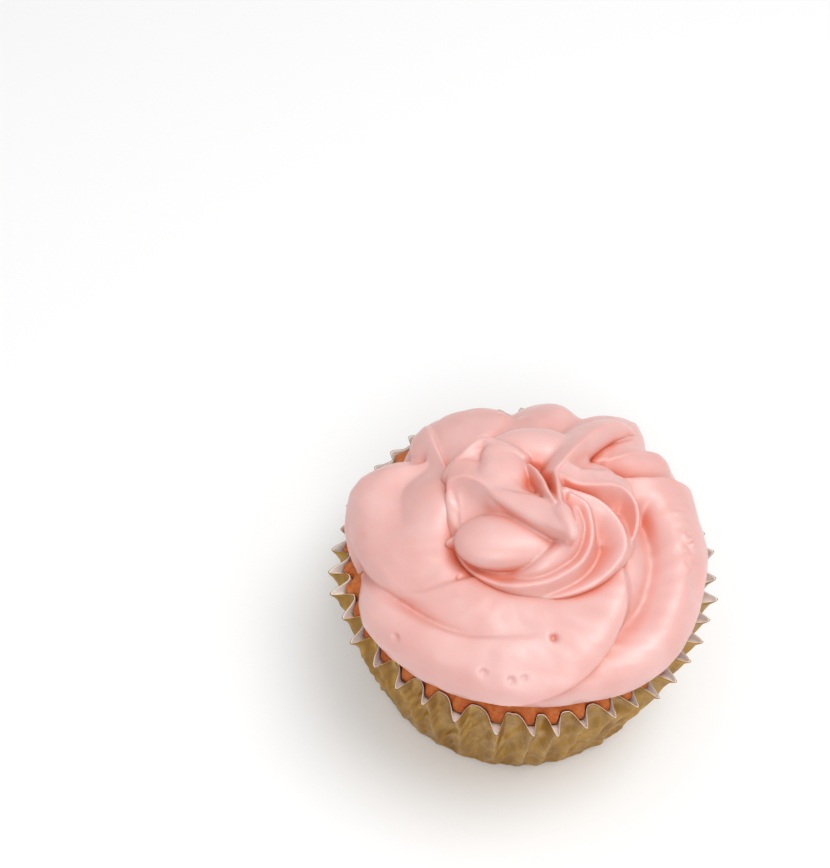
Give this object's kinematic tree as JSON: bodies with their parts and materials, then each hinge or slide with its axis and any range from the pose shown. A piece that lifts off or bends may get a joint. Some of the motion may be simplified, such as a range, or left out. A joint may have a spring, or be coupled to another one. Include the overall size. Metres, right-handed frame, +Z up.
{
  "type": "frosted cupcake",
  "caption": "Small sponge cake in a pleated gold foil case with a white paper liner, topped with two piped turns of pink buttercream; the cake lifts out of its case.",
  "frame": {"origin": "middle of the case's flat base, on the surface it stands on", "axes": "+Z up through the cake's middle; the piped peak leans towards +X and -Y"},
  "size_m": [0.062, 0.062, 0.0475],
  "materials": {
    "gold_foil": "satin gold foil, crinkled",
    "greaseproof_paper": "matte greaseproof paper",
    "baked_sponge": "golden-brown baked crust, finely porous",
    "buttercream": "soft satin sheen"
  },
  "bodies": {
    "case": {"foil_case": "gold_foil", "paper_liner": "greaseproof_paper"},
    "cake": {"sponge_cake": "baked_sponge", "frosting_first_turn": "buttercream", "frosting_second_turn": "buttercream"}
  },
  "joints": [
    {"name": "cake_lift", "type": "slide", "parent": "case", "child": "cake", "axis": [0, 0, 1], "range_m": [0, 0.035]}
  ]
}
